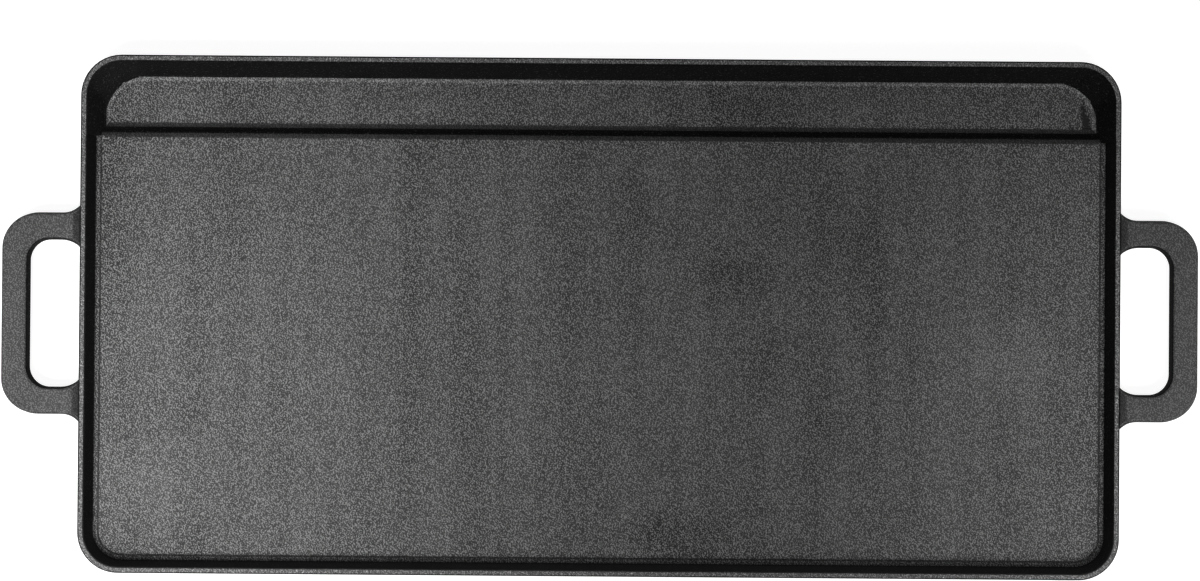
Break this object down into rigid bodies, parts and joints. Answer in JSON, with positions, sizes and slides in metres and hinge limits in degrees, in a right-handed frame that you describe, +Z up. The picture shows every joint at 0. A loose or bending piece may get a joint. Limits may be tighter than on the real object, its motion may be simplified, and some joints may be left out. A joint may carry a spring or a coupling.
{
  "type": "camp griddle plate",
  "caption": "Rectangular cast-iron camp griddle with a flat cooking plate, a low drafted rim, a grease trough along its back edge and a loop handle at each end.",
  "frame": {"origin": "middle of the griddle's footprint, on the surface that it stands on", "axes": "+X along the griddle's length towards the right handle, +Y towards the grease trough at the back, +Z up out of the cooking surface"},
  "size_m": [0.5878, 0.2528, 0.026],
  "materials": {
    "seasoned_iron": "black oil-seasoned cast iron with a fine sand-cast grain and a dull sheen"
  },
  "bodies": {
    "root": {"cooking_plate": "seasoned_iron", "trough_step": "seasoned_iron", "trough_floor": "seasoned_iron", "front_wall": "seasoned_iron", "left_wall": "seasoned_iron", "right_wall": "seasoned_iron", "back_wall": "seasoned_iron", "left_handle": "seasoned_iron", "right_handle": "seasoned_iron"}
  },
  "joints": []
}
